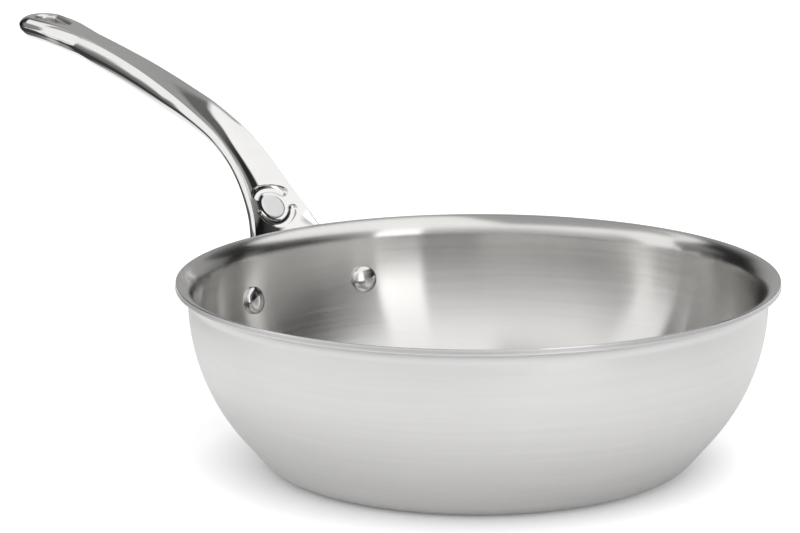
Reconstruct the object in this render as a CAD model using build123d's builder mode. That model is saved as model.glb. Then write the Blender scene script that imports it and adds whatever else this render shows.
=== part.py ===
from build123d import *

import os
from math import asin, ceil, cos, degrees, hypot, radians, sin, sqrt, tan

# Saucier pan: a laminated flared bowl with a pouring lip and a long riveted cast handle. Millimetres. Z is
# up and the pan stands on Z = 0. The origin is the centre of the flat base, and the handle points along +X.

# Bowl: the outer surface, from the flat base up to the lip
pan_height = 76.0
base_corner_radius = 14.0
cone_angle = 40.0  # of the lower wall, from the vertical
lower_wall_height = 14.8  # where the straight lower wall ends
wall_top_radius = 117.0  # where the wall stands upright, under the lip
lip_curve_radius = 5.5  # of the hollow under the lip
lip_turn = 85.0  # how far the lip bends outward, in degrees

# Laminate: five plies rolled together, from the outside in
induction_ply_thickness = 0.4
lower_bond_thickness = 0.3
core_thickness = 1.0
upper_bond_thickness = 0.3
cooking_ply_thickness = 0.4

# Rivets
rivet_drop = 25.1  # from the rim down to the rivets
rivet_spacing = 61.6
rivet_shank_radius = 3.0
rivet_head_radius = 5.8
rivet_head_rise = 3.0
rivet_head_edge = 0.7  # upright edge under the dome
rivet_tail_radius = 5.4
rivet_tail_rise = 1.8
rivet_tail_edge = 0.4
rivet_hole_clearance = 0.05
rivet_seat_height = 3.5  # of the flat seat on the flange, from the wall

# Handle casting
handle_tip_reach = 313.4  # from the pan's axis
handle_top_height = 147.8
ear_radius = 10.8  # round each rivet, on the flange
flange_edge_thickness = 3.6
flange_thickness = 6.0  # on the flange's middle line
seat_overlap = 1.2  # how far the rough casting runs into the wall before its seat is cut
neck_width = 20.0
neck_thickness = 4.4  # on the middle line, under the hollow of its upper face
neck_hollow = 3.4  # of the neck's upper face, between its crests
grip_width = 17.6
grip_thickness = 11.0
eye_end_width = 24.4  # of the round end, outside the hanging eye
eye_end_thickness = 9.6

# Hanging eye
eye_length = 21.8
eye_front_radius = 4.9
eye_back_radius = 2.2
eye_flare = 2.0  # round over of its mouths
eye_round_steps = 4
eye_back_reach = 19.2  # from the handle's tip to the eye's middle

# Badge seat, with a crescent groove above it and one below
badge_radius = 5.7
badge_thickness = 2.0
badge_proud = 0.5
badge_edge_round = 0.4
badge_clearance = 0.05
badge_spine_share = 0.2145  # how far along the handle's spine it lies
groove_ring_radius = 8.8
groove_depth = 0.95
groove_tube_radius = 3.1  # of the round cut that leaves it
upper_groove_sweep = 102.0  # round the badge, centred straight up the neck
lower_groove_sweep = 136.0  # centred straight down it
groove_points = 9

cut_overrun = 30.0
station_gap = 5.0  # the widest between sections of the handle

# Worked-out sizes
laminate_thickness = (
    induction_ply_thickness
    + lower_bond_thickness
    + core_thickness
    + upper_bond_thickness
    + cooking_ply_thickness
)
wall_top_height = pan_height - (lip_curve_radius + laminate_thickness) * sin(radians(lip_turn))
cone = radians(cone_angle)
base_turn = 90.0 - cone_angle
wall_curve_radius = (wall_top_height - lower_wall_height) / sin(cone)
cone_top_radius = wall_top_radius - wall_curve_radius * (1 - cos(cone))
base_flat_radius = (
    cone_top_radius - lower_wall_height * tan(cone) - base_corner_radius * tan(radians(base_turn / 2))
)
rivet_height = pan_height - rivet_drop


def wall_lean(height):
    """The wall's angle from the vertical at a height, in radians, on its curved part."""
    return asin((wall_top_height - height) / wall_curve_radius)


def wall_radius(height):
    """The outer wall's radius at a height."""
    if height >= wall_top_height:
        return wall_top_radius
    if height <= lower_wall_height:
        return cone_top_radius - (lower_wall_height - height) * tan(cone)
    return wall_top_radius - wall_curve_radius * (1 - cos(wall_lean(height)))


def wall_points(depth):
    """Corner and middle points of the bowl's curve at a depth inside its outer surface."""
    corner = (base_flat_radius, base_corner_radius)
    corner_r = base_corner_radius - depth
    curve = (wall_top_radius - wall_curve_radius, wall_top_height)
    curve_r = wall_curve_radius - depth
    lip = (wall_top_radius + lip_curve_radius, wall_top_height)
    lip_r = lip_curve_radius + depth

    def on(centre, radius, angle):
        return (centre[0] + radius * cos(radians(angle)), centre[1] + radius * sin(radians(angle)))

    return {
        "axis": (0, depth),
        "flat": (base_flat_radius, depth),
        "corner_mid": on(corner, corner_r, -90 + base_turn / 2),
        "corner_end": on(corner, corner_r, -90 + base_turn),
        "curve_start": on(curve, curve_r, -cone_angle),
        "curve_mid": on(curve, curve_r, -cone_angle / 2),
        "curve_end": on(curve, curve_r, 0),
        "lip_mid": on(lip, lip_r, 180 - lip_turn / 2),
        "lip_end": on(lip, lip_r, 180 - lip_turn),
    }


def wall_curve(depth):
    """Draws the bowl's curve at a depth, from the axis to the lip's cut edge."""
    p = wall_points(depth)
    Line(p["axis"], p["flat"])
    ThreePointArc(p["flat"], p["corner_mid"], p["corner_end"])
    Line(p["corner_end"], p["curve_start"])
    ThreePointArc(p["curve_start"], p["curve_mid"], p["curve_end"])
    ThreePointArc(p["curve_end"], p["lip_mid"], p["lip_end"])
    return p


def rivet_plane(side):
    """The plane on the outer wall at a rivet, facing outward."""
    lean = wall_lean(rivet_height)
    turn = side * degrees(asin(rivet_spacing / 2 / wall_radius(rivet_height)))
    spot = Vector(wall_radius(rivet_height), 0, rivet_height).rotate(Axis.Z, turn)
    outward = Vector(cos(lean), 0, -sin(lean)).rotate(Axis.Z, turn)
    return Plane(origin=spot, z_dir=outward)


rivet_planes = {"left": rivet_plane(1), "right": rivet_plane(-1)}
rivet_hole_radius = rivet_shank_radius + rivet_hole_clearance


def ply(outer_depth, inner_depth):
    """One layer of the laminate, with the rivet holes through it."""
    with BuildPart() as layer:
        with BuildSketch(Plane.XZ):
            with BuildLine():
                outside = wall_curve(outer_depth)
                inside = wall_curve(inner_depth)
                Line(outside["axis"], inside["axis"])
                Line(outside["lip_end"], inside["lip_end"])
            make_face()
        revolve(axis=Axis.Z)
        for plane in rivet_planes.values():
            with BuildSketch(plane):
                Circle(rivet_hole_radius)
            extrude(amount=cut_overrun / 2, both=True, mode=Mode.SUBTRACT)
    return layer


ply_thicknesses = {
    "induction_ply": induction_ply_thickness,
    "lower_bond_ply": lower_bond_thickness,
    "core_ply": core_thickness,
    "upper_bond_ply": upper_bond_thickness,
    "cooking_ply": cooking_ply_thickness,
}
plies = {}
depth = 0
for ply_name, thickness in ply_thicknesses.items():
    plies[ply_name] = ply(depth, depth + thickness)
    depth = depth + thickness

# The whole space inside the bowl's outer surface, which seats the handle
with BuildPart() as bowl_blank:
    with BuildSketch(Plane.XZ):
        with BuildLine():
            edge = wall_curve(0)
            top = (edge["lip_end"][0], pan_height)
            Line(edge["lip_end"], top)
            Line(top, (0, pan_height))
            Line((0, pan_height), edge["axis"])
        make_face()
    revolve(axis=Axis.Z)

# The whole laminate as one solid, which seats the rivet heads
with BuildPart() as laminate_blank:
    with BuildSketch(Plane.XZ):
        with BuildLine():
            outside = wall_curve(0)
            inside = wall_curve(laminate_thickness)
            Line(outside["axis"], inside["axis"])
            Line(outside["lip_end"], inside["lip_end"])
        make_face()
    revolve(axis=Axis.Z)


# Handle: stations along the middle line of its upper face, from the flange to the round end. The
# sections stand square to that line, and their depth runs down from the upper face.
flange_half_width = rivet_spacing / 2 + ear_radius
end_half_width = eye_end_width / 2
end_centre_reach = handle_tip_reach - end_half_width
handle_reach = handle_tip_reach - wall_top_radius
handle_rise = handle_top_height - rivet_height

# Flange: height from the rivets as a share of the ear's radius, half width as a share of the flange's,
# and thickness on the middle line as a share of the flange's
flange_shares = (
    (-1.00, 0.72, 0.62),
    (-0.92, 0.82, 0.68),
    (-0.70, 0.94, 0.76),
    (-0.30, 0.995, 0.86),
    (0.15, 0.995, 0.96),
    (0.55, 0.94, 1.02),
    (0.85, 0.84, 1.06),
)

# Neck, grip and round end: reach and rise as shares of the handle's, half widths at the crest, the side
# and the belly as shares of the stretch's own, depths of the belly's corners and middle as shares of its
# thickness, and the hollow of the upper face as a share of the neck's
neck_shares = (
    (0.0024, 0.1292, 2.86, 2.87, 2.66, 1.18, 1.50, 1.30),
    (0.0155, 0.1625, 2.38, 2.42, 2.14, 1.30, 1.30, 1.08),
    (0.0306, 0.1990, 2.02, 2.08, 1.80, 1.40, 1.18, 0.98),
    (0.0451, 0.2375, 1.75, 1.82, 1.53, 1.44, 1.09, 0.95),
    (0.0660, 0.3000, 1.49, 1.57, 1.28, 1.45, 1.02, 1.00),
    (0.0881, 0.3573, 1.29, 1.38, 1.10, 1.43, 1.00, 0.97),
    (0.1155, 0.4240, 1.11, 1.21, 0.95, 1.42, 1.03, 0.88),
    (0.1485, 0.4979, 0.98, 1.09, 0.85, 1.42, 1.10, 0.74),
    (0.1825, 0.5594, 0.91, 1.03, 0.79, 1.43, 1.18, 0.59),
    (0.2233, 0.6188, 0.86, 1.00, 0.76, 1.52, 1.36, 0.47),
)
grip_shares = (
    (0.2786, 0.6766, 0.93, 1.11, 0.78, 0.69, 0.66, 0.35),
    (0.3413, 0.7307, 0.89, 1.10, 0.76, 0.79, 0.80, 0.24),
    (0.4131, 0.7823, 0.79, 1.07, 0.70, 0.89, 0.93, 0.13),
    (0.5354, 0.8560, 0.66, 1.01, 0.63, 0.96, 1.04, 0.06),
    (0.6845, 0.9240, 0.57, 0.99, 0.58, 0.97, 1.06, 0.04),
    (0.7500, 0.9490, 0.57, 1.00, 0.57, 0.93, 1.03, 0.04),
)
end_shares = (
    (0.8600, 0.9700, 0.50, 0.79, 0.48, 1.04, 1.16, 0.04),
    (0.9150, 0.9860, 0.62, 0.90, 0.56, 1.03, 1.15, 0.04),
    (1.0000, 1.0000, 0.74, 1.00, 0.66, 1.00, 1.12, 0.04),
)
side_depth_share = 0.42  # depth of the widest point of the sides, of the belly's corners


def wall_wrap(half_width):
    """How far the round wall falls back at a half width."""
    return wall_top_radius - sqrt(wall_top_radius**2 - half_width**2)


def flange_stations():
    """Spots on the wall, with half widths, the face's hollow and the depths."""
    for height_share, width_share, depth_share in flange_shares:
        height = rivet_height + height_share * ear_radius
        half = width_share * flange_half_width
        wrap = wall_wrap(half)
        edge_depth = flange_edge_thickness + seat_overlap
        middle_depth = depth_share * flange_thickness + seat_overlap
        spot = (wall_radius(height) - seat_overlap, height)
        yield spot, (half, half, half, wrap, edge_depth, middle_depth)


def free_stations(shares, half_width, thickness, reach):
    """Spots on the free part of the handle, with the same sizes."""
    for reach_share, rise_share, crest_share, side_share, belly_share, edge, middle, hollow in shares:
        spot = (wall_top_radius + reach_share * reach, rivet_height + rise_share * handle_rise)
        widths = (crest_share * half_width, side_share * half_width, belly_share * half_width)
        yield spot, (*widths, hollow * neck_hollow, edge * thickness, middle * thickness)


stations = [
    *flange_stations(),
    *free_stations(neck_shares, neck_width / 2, neck_thickness, handle_reach),
    *free_stations(grip_shares, grip_width / 2, grip_thickness, handle_reach),
    *free_stations(end_shares, end_half_width, eye_end_thickness, end_centre_reach - wall_top_radius),
]
with BuildLine(Plane.XZ) as spine_line:
    Spline(*[spot for spot, sizes in stations])
spine = spine_line.edges()[0]


def eased(places, values, place):
    """The value at a place between given ones, smooth and never beyond its neighbours."""
    rises = [(b - a) / (q - p) for a, b, p, q in zip(values, values[1:], places, places[1:])]
    inner = [0 if a * b <= 0 else 2 * a * b / (a + b) for a, b in zip(rises, rises[1:])]
    slopes = [rises[0], *inner, rises[-1]]
    step = max(i for i in range(len(rises)) if places[i] <= place)
    width = places[step + 1] - places[step]
    t = (place - places[step]) / width
    start = values[step] * (1 + 2 * t) + slopes[step] * width * t
    end = values[step + 1] * (3 - 2 * t) - slopes[step + 1] * width * (1 - t)
    return start * (1 - t) ** 2 + end * t**2


station_places = [0]
for (spot, _), (next_spot, _) in zip(stations, stations[1:]):
    station_places.append(station_places[-1] + hypot(next_spot[0] - spot[0], next_spot[1] - spot[1]))
size_columns = list(zip(*[sizes for spot, sizes in stations]))


def sizes_at(place):
    """The section's sizes at a place along the stations."""
    return [eased(station_places, column, place) for column in size_columns]


def close_stations():
    """The stations with more between them, so that no two lie far apart."""
    for start, end in zip(station_places, station_places[1:]):
        count = ceil((end - start) / station_gap)
        for step in range(count):
            place = start + step * (end - start) / count
            spot = spine @ (place / station_places[-1])
            yield (spot.X, spot.Z), sizes_at(place)
    yield stations[-1]


def section_plane(spot):
    """The plane across the handle at a point of its spine, with Y up out of the upper face."""
    place = Vector(spot[0], 0, spot[1])
    return Plane(origin=place, x_dir=(0, 1, 0), z_dir=spine.tangent_at(place))


def section_points(crest, side, belly, hollow, edge_depth, middle_depth):
    """The left half of a section: the face's middle, the crest, the side and the belly."""
    return {
        "face": (0, 0),
        "crest": (crest, hollow),
        "side": (side, hollow - side_depth_share * edge_depth),
        "belly": (belly, hollow - edge_depth),
        "middle": (0, -middle_depth),
    }


def mirrored(point):
    return (-point[0], point[1])


def section_sketch(spot, sizes):
    """A section with a hollow upper face, sharp crests, round sides and a rounded belly."""
    p = section_points(*sizes)
    with BuildSketch(section_plane(spot)) as section:
        with BuildLine():
            ThreePointArc(p["crest"], p["face"], mirrored(p["crest"]))
            Spline(mirrored(p["crest"]), mirrored(p["side"]), mirrored(p["belly"]))
            ThreePointArc(mirrored(p["belly"]), p["middle"], p["belly"])
            Spline(p["belly"], p["side"], p["crest"])
        make_face()
    return section.sketch


end_spot, end_sizes = stations[-1]
end_plane = section_plane(end_spot)
eye_spot = spine @ (1 - (eye_back_reach - end_half_width) / spine.length)
eye_section = section_plane((eye_spot.X, eye_spot.Z))
eye_plane = Plane(origin=eye_section.origin, x_dir=eye_section.z_dir, z_dir=eye_section.y_dir)

# The badge lies on the hollow of the upper face
badge_spot = spine @ badge_spine_share
badge_section = section_plane((badge_spot.X, badge_spot.Z))
badge_plane = Plane(
    origin=badge_section.origin, x_dir=badge_section.z_dir, z_dir=badge_section.y_dir
)


def eye_outline(height, growth):
    """The eye's outline at a height over its plane, grown outward all round."""
    with BuildSketch(eye_plane.offset(height)) as outline:
        with Locations((eye_length / 2 - eye_front_radius, 0)):
            Circle(eye_front_radius + growth)
        with Locations((eye_back_radius - eye_length / 2, 0)):
            Circle(eye_back_radius + growth)
        make_hull()
    return outline.sketch


def eye_mouth(height, way):
    """The eye's outlines through a round mouth that opens upward or downward at a height."""
    outlines = []
    for step in range(eye_round_steps + 1):
        turn = step * 90 / eye_round_steps
        rise = eye_flare * (sin(radians(turn)) - 1)
        outlines.append(eye_outline(height + way * rise, eye_flare * (1 - cos(radians(turn)))))
    return outlines


# The radius of the hollow face where the badge lies
badge_sizes = sizes_at(badge_spine_share * station_places[-1])
badge_crest, badge_hollow = badge_sizes[0], badge_sizes[3]
face_radius = (badge_crest**2 + badge_hollow**2) / (2 * badge_hollow)


def groove(middle_angle, sweep_angle):
    """A bent round cut with round ends, which follows the hollow face beside the badge."""
    spots = []
    for point in range(groove_points):
        angle = radians(middle_angle + sweep_angle * (point / (groove_points - 1) - 1 / 2))
        across = groove_ring_radius * sin(angle)
        rise = face_radius - sqrt(face_radius**2 - across**2)
        height = rise + groove_tube_radius - groove_depth
        spots.append(badge_plane.from_local_coords(Vector(groove_ring_radius * cos(angle), across, height)))
    with BuildPart() as cut:
        with BuildLine() as path:
            Spline(*spots)
        with BuildSketch(path.line ^ 0):
            Circle(groove_tube_radius)
        sweep(path=path.line)
        with Locations(spots[0], spots[-1]):
            Sphere(groove_tube_radius)
    return cut


grooves = [groove(0, upper_groove_sweep), groove(180, lower_groove_sweep)]

with BuildPart() as handle:
    loft([section_sketch(spot, sizes) for spot, sizes in close_stations()])

    # The round nose: half of the last section, turned through the half circle beyond it
    nose = section_points(*end_sizes)
    with BuildSketch(end_plane):
        with BuildLine():
            TangentArc(nose["face"], nose["crest"], tangent=(1, 0))
            Spline(nose["crest"], nose["side"], nose["belly"])
            TangentArc(nose["middle"], nose["belly"], tangent=(1, 0))
            Line(nose["middle"], nose["face"])
        make_face()
    revolve(axis=Axis(end_plane.origin, -end_plane.y_dir), revolution_arc=180)

    # Seat on the wall
    add(bowl_blank, mode=Mode.SUBTRACT)

    # Hanging eye, wide at its front and narrow towards the grip, with rounded mouths
    extrude(eye_outline(0, 0), amount=cut_overrun, both=True, mode=Mode.SUBTRACT)
    for mouth_height, way in ((0, 1), (-eye_end_thickness, -1)):
        outlines = eye_mouth(mouth_height, way)
        loft(outlines, mode=Mode.SUBTRACT)
        extrude(outlines[-1], amount=way * cut_overrun, mode=Mode.SUBTRACT)

    # Rivet holes, with a flat seat for each formed head
    for plane in rivet_planes.values():
        with BuildSketch(plane):
            Circle(rivet_hole_radius)
        extrude(amount=cut_overrun / 2, both=True, mode=Mode.SUBTRACT)
        with BuildSketch(plane.offset(rivet_seat_height)):
            Circle(rivet_tail_radius + rivet_hole_clearance)
        extrude(amount=cut_overrun / 2, mode=Mode.SUBTRACT)

    # Badge seat
    with BuildSketch(badge_plane.offset(badge_proud - badge_thickness)):
        Circle(badge_radius + badge_clearance)
    extrude(amount=cut_overrun, mode=Mode.SUBTRACT)

    # Crescent grooves above and below the badge
    for cut in grooves:
        add(cut, mode=Mode.SUBTRACT)
handle.part.label = "handle"


# Rivets: a domed head inside the bowl, a shank through the wall and the flange, and a formed head outside
def rivet(plane, side):
    """A rivet on its plane, which lies on the outer wall and faces outward."""
    with BuildPart() as piece:
        with BuildSketch(Plane(origin=plane.origin, x_dir=plane.x_dir, z_dir=-plane.y_dir)):
            with BuildLine():
                rim = (rivet_head_radius, -laminate_thickness - rivet_head_edge)
                top = (0, -laminate_thickness - rivet_head_rise)
                base = (rivet_head_radius, -laminate_thickness / 2)
                Line((0, base[1]), base)
                Line(base, rim)
                TangentArc(top, rim, tangent=(1, 0))
                Line(top, (0, base[1]))
            make_face()
        revolve(axis=Axis(plane.origin, plane.z_dir))
        add(laminate_blank, mode=Mode.SUBTRACT)
        with BuildSketch(plane.offset(-laminate_thickness - rivet_head_edge)):
            Circle(rivet_shank_radius)
        extrude(amount=laminate_thickness + rivet_head_edge + rivet_seat_height)
        with BuildSketch(Plane(origin=plane.origin, x_dir=plane.x_dir, z_dir=-plane.y_dir)):
            with BuildLine():
                Line((0, rivet_seat_height), (rivet_tail_radius, rivet_seat_height))
                rim = (rivet_tail_radius, rivet_seat_height + rivet_tail_edge)
                top = (0, rivet_seat_height + rivet_tail_rise)
                Line((rivet_tail_radius, rivet_seat_height), rim)
                TangentArc(top, rim, tangent=(1, 0))
                Line(top, (0, rivet_seat_height))
            make_face()
        revolve(axis=Axis(plane.origin, plane.z_dir))
    piece.part.label = "rivet_" + side
    return piece


rivets = [rivet(plane, side) for side, plane in rivet_planes.items()]

# Badge: a bare round inlay with a rounded edge
with BuildPart() as badge:
    with BuildSketch(badge_plane.offset(badge_proud - badge_thickness)):
        Circle(badge_radius)
    extrude(amount=badge_thickness)
    fillet(badge.faces().sort_by(Axis(badge_plane.origin, badge_plane.z_dir))[-1].edges(), badge_edge_round)
badge.part.label = "badge"

os.makedirs("parts", exist_ok=True)
for ply_name, layer in plies.items():
    layer.part.label = ply_name
for piece in (*plies.values(), handle, *rivets, badge):
    export_step(piece.part, "parts/" + piece.part.label + ".step")
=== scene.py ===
from math import asin, atan2, ceil, cos, hypot, pi, radians, sin, sqrt, tan

import bmesh
import bpy
from mathutils import Matrix, Vector


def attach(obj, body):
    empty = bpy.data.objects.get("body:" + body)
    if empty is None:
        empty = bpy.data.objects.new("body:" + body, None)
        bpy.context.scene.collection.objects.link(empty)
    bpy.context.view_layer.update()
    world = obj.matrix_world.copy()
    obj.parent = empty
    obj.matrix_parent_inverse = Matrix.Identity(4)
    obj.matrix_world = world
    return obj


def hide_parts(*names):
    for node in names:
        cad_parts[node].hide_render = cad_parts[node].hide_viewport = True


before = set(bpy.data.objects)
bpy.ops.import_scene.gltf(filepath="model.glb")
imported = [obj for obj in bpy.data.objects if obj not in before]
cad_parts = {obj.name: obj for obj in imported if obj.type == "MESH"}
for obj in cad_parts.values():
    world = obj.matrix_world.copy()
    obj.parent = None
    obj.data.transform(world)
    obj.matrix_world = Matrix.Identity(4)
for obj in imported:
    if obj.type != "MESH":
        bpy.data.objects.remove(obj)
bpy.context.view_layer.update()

# The pan's pieces are meshed in millimetres from the sizes on its drawing, and laid down in metres. Z is up
# and the handle points along +X. The studio round them stands as it does in the photograph.
MM = 0.001

# Bowl
PAN_HEIGHT = 76.0
BASE_CORNER_RADIUS = 14.0
CONE_ANGLE = radians(40.0)
LOWER_WALL_HEIGHT = 14.8
WALL_TOP_RADIUS = 117.0
LIP_CURVE_RADIUS = 5.5
LIP_TURN = radians(85.0)
PLIES = (
    ("induction_ply", 0.4),
    ("lower_bond_ply", 0.3),
    ("core_ply", 1.0),
    ("upper_bond_ply", 0.3),
    ("cooking_ply", 0.4),
)
WALL_THICKNESS = sum(thickness for name, thickness in PLIES)
LIP_CORNER_RADIUS = 0.28  # the worn corners of the cut edge

# Worked-out sizes of the bowl
LIP_HEIGHT = PAN_HEIGHT - (LIP_CURVE_RADIUS + WALL_THICKNESS) * sin(LIP_TURN)
WALL_CURVE_RADIUS = (LIP_HEIGHT - LOWER_WALL_HEIGHT) / sin(CONE_ANGLE)
CONE_TOP_RADIUS = WALL_TOP_RADIUS - WALL_CURVE_RADIUS * (1 - cos(CONE_ANGLE))
BASE_TURN = pi / 2 - CONE_ANGLE
BASE_FLAT_RADIUS = (
    CONE_TOP_RADIUS - LOWER_WALL_HEIGHT * tan(CONE_ANGLE) - BASE_CORNER_RADIUS * tan(BASE_TURN / 2)
)

# Rivets
RIVET_HEIGHT = PAN_HEIGHT - 25.1
RIVET_SPACING = 61.6
RIVET_SHANK_RADIUS = 3.0
RIVET_HEAD_RADIUS = 5.8
RIVET_HEAD_RISE = 3.0
RIVET_HEAD_EDGE = 0.7
RIVET_TAIL_RADIUS = 5.4
RIVET_TAIL_RISE = 1.8
RIVET_TAIL_EDGE = 0.4
RIVET_SEAT_HEIGHT = 3.5

# Handle
HANDLE_TIP_REACH = 313.4
HANDLE_TOP_HEIGHT = 147.8
EAR_RADIUS = 10.8
FLANGE_EDGE_THICKNESS = 3.6
FLANGE_THICKNESS = 6.0
SEAT_OVERLAP = 1.2
NECK_WIDTH = 20.0
NECK_THICKNESS = 4.4
NECK_HOLLOW = 3.4
GRIP_WIDTH = 17.6
GRIP_THICKNESS = 11.0
EYE_END_WIDTH = 24.4
EYE_END_THICKNESS = 9.6
CREST_ROUND = 0.45
END_CREST_ROUND = 2.6
END_ROUND_SHARE = 0.80  # where the crests start to soften, along the spine
BELLY_ROUND = 1.6
FLANGE_END_ROUND = 1.6

# Hanging eye
EYE_LENGTH = 21.8
EYE_FRONT_RADIUS = 4.9
EYE_BACK_RADIUS = 2.2
EYE_FLARE = 2.0
EYE_BACK_REACH = 19.2

# Badge and grooves
BADGE_RADIUS = 5.7
BADGE_THICKNESS = 2.0
BADGE_PROUD = 0.5
BADGE_EDGE_ROUND = 0.4
BADGE_SPINE_SHARE = 0.2145
GROOVE_RING_RADIUS = 8.8
GROOVE_DEPTH = 0.95
GROOVE_TUBE_RADIUS = 3.1
GROOVES = ((0.0, radians(102.0)), (pi, radians(136.0)))  # middle and sweep round the badge
SEAT_CLEARANCE = 0.05
CUT_OVERRUN = 12.0

# Shares of the handle's stations, in the order of the drawing: on the flange height, half width and
# thickness; then reach, rise, half widths at crest, side and belly, depths of the belly's corners and
# middle, and the hollow of the upper face
FLANGE_SHARES = (
    (-1.00, 0.72, 0.62),
    (-0.92, 0.82, 0.68),
    (-0.70, 0.94, 0.76),
    (-0.30, 0.995, 0.86),
    (0.15, 0.995, 0.96),
    (0.55, 0.94, 1.02),
    (0.85, 0.84, 1.06),
)
NECK_SHARES = (
    (0.0024, 0.1292, 2.86, 2.87, 2.66, 1.18, 1.50, 1.30),
    (0.0155, 0.1625, 2.38, 2.42, 2.14, 1.30, 1.30, 1.08),
    (0.0306, 0.1990, 2.02, 2.08, 1.80, 1.40, 1.18, 0.98),
    (0.0451, 0.2375, 1.75, 1.82, 1.53, 1.44, 1.09, 0.95),
    (0.0660, 0.3000, 1.49, 1.57, 1.28, 1.45, 1.02, 1.00),
    (0.0881, 0.3573, 1.29, 1.38, 1.10, 1.43, 1.00, 0.97),
    (0.1155, 0.4240, 1.11, 1.21, 0.95, 1.42, 1.03, 0.88),
    (0.1485, 0.4979, 0.98, 1.09, 0.85, 1.42, 1.10, 0.74),
    (0.1825, 0.5594, 0.91, 1.03, 0.79, 1.43, 1.18, 0.59),
    (0.2233, 0.6188, 0.86, 1.00, 0.76, 1.52, 1.36, 0.47),
)
GRIP_SHARES = (
    (0.2786, 0.6766, 0.93, 1.11, 0.78, 0.69, 0.66, 0.35),
    (0.3413, 0.7307, 0.89, 1.10, 0.76, 0.79, 0.80, 0.24),
    (0.4131, 0.7823, 0.79, 1.07, 0.70, 0.89, 0.93, 0.13),
    (0.5354, 0.8560, 0.66, 1.01, 0.63, 0.96, 1.04, 0.06),
    (0.6845, 0.9240, 0.57, 0.99, 0.58, 0.97, 1.06, 0.04),
    (0.7500, 0.9490, 0.57, 1.00, 0.57, 0.93, 1.03, 0.04),
)
END_SHARES = (
    (0.8600, 0.9700, 0.50, 0.79, 0.48, 1.04, 1.16, 0.04),
    (0.9150, 0.9860, 0.62, 0.90, 0.56, 1.03, 1.15, 0.04),
    (1.0000, 1.0000, 0.74, 1.00, 0.66, 1.00, 1.12, 0.04),
)
SIDE_DEPTH_SHARE = 0.42

# How finely the pieces are meshed
LATHE_SEGMENTS = 384
HIDDEN_DETAIL = 0.5  # of the plies that show only their edges, against the two bare ones
BASE_RINGS = (0, 4, 12, 24, 36, 48, 60, 70)  # radii on the flat base
BASE_CORNER_STEPS = 16
WALL_STEPS = 44
LIP_STEPS = 28
WORN_CORNER_STEPS = 6
SECTION_GAP = 0.8  # between the handle's sections
DRAWN_STEPS = 24  # of the upper face and the belly, before their corners are rounded
DRAWN_FLANK_STEPS = 36
FACE_STEPS = 14
CREST_STEPS = 10
FLANK_STEPS = 16
BELLY_CORNER_STEPS = 8
BELLY_STEPS = 12
FLANGE_END_STEPS = 8
NOSE_STEPS = 56
RIVET_SEGMENTS = 96
RIVET_HEAD_STEPS = 20
RIVET_TAIL_STEPS = 16
BADGE_EDGE_STEPS = 8
BADGE_RING_SHARES = (0.8, 0.5, 0.2, 0.0)
SMOOTH_ANGLE = radians(32)  # sharper edges than this stay sharp
MERGE_GAP = 0.002
LEAST_EDGE = 0.001
LEAST_SAG = 0.001  # below it an arc is a straight line
SLOPE_REACH = 0.05  # to each side, for the spine's direction at a place
CUT_BACK_LIMIT = 0.4  # the most that a rounded corner takes of a line
DOME_SOFTNESS = 0.8


# Meshes
def new_piece(name, vertices, faces):
    """A mesh object from points in millimetres, smooth except along its sharp edges."""
    mesh = bpy.data.meshes.new(name)
    mesh.from_pydata([Vector(v) * MM for v in vertices], [], faces)
    mesh.validate()
    piece = bpy.data.objects.new(name, mesh)
    bpy.context.scene.collection.objects.link(piece)
    tidy_mesh(piece, SMOOTH_ANGLE)
    return piece


def tidy_mesh(piece, smooth_angle):
    """Merges doubled points, turns the faces outward and marks the sharp edges."""
    work = bmesh.new()
    work.from_mesh(piece.data)
    bmesh.ops.remove_doubles(work, verts=work.verts, dist=MERGE_GAP * MM)
    bmesh.ops.dissolve_degenerate(work, edges=work.edges, dist=LEAST_EDGE * MM)
    bmesh.ops.recalc_face_normals(work, faces=work.faces)
    for face in work.faces:
        face.smooth = True
    for edge in work.edges:
        edge.smooth = edge.is_manifold and edge.calc_face_angle(0) < smooth_angle
    work.to_mesh(piece.data)
    work.free()


def lathe(name, profile, segments, placing=None):
    """A closed profile of (radius, height) turned about Z, or about the Z of a placing matrix."""
    vertices = []
    for step in range(segments):
        turn = 2 * pi * step / segments
        vertices += [(r * cos(turn), r * sin(turn), z) for r, z in profile]
    if placing is not None:
        vertices = [placing @ Vector(v) for v in vertices]
    count = len(profile)
    faces = []
    for step in range(segments):
        here, there = step * count, (step + 1) % segments * count
        for i in range(count):
            j = (i + 1) % count
            faces.append((here + i, there + i, there + j, here + j))
    return new_piece(name, vertices, faces)


def arc(centre, radius, start, end, steps):
    """Points on an arc from one angle to another."""
    points = []
    for step in range(steps + 1):
        angle = start + (end - start) * step / steps
        points.append((centre[0] + radius * cos(angle), centre[1] + radius * sin(angle)))
    return points


def span(a, b):
    return hypot(b[0] - a[0], b[1] - a[1])


def lerp(a, b, share):
    return tuple(p + (q - p) * share for p, q in zip(a, b))


def cut_back(points, start_cut, end_cut, count):
    """Evenly spaced points on a line that is cut back at its ends."""
    places = [0.0]
    for a, b in zip(points, points[1:]):
        places.append(places[-1] + span(a, b))
    length = places[-1]
    start = min(start_cut, CUT_BACK_LIMIT * length)
    end = length - min(end_cut, CUT_BACK_LIMIT * length)
    spaced = []
    i = 0
    for step in range(count + 1):
        place = start + (end - start) * step / count
        while i < len(points) - 2 and places[i + 1] < place:
            i += 1
        spaced.append(lerp(points[i], points[i + 1], (place - places[i]) / (places[i + 1] - places[i])))
    return spaced


def bridge(start, corner, end, steps):
    """The points between the ends of a small curve that rounds a corner."""
    points = []
    for step in range(1, steps):
        t = step / steps
        points.append(lerp(lerp(start, corner, t), lerp(corner, end, t), t))
    return points


def joined(first, corner, second, steps):
    """Two lines with their shared corner rounded between them."""
    return first + bridge(first[-1], corner, second[0], steps) + second


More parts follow.
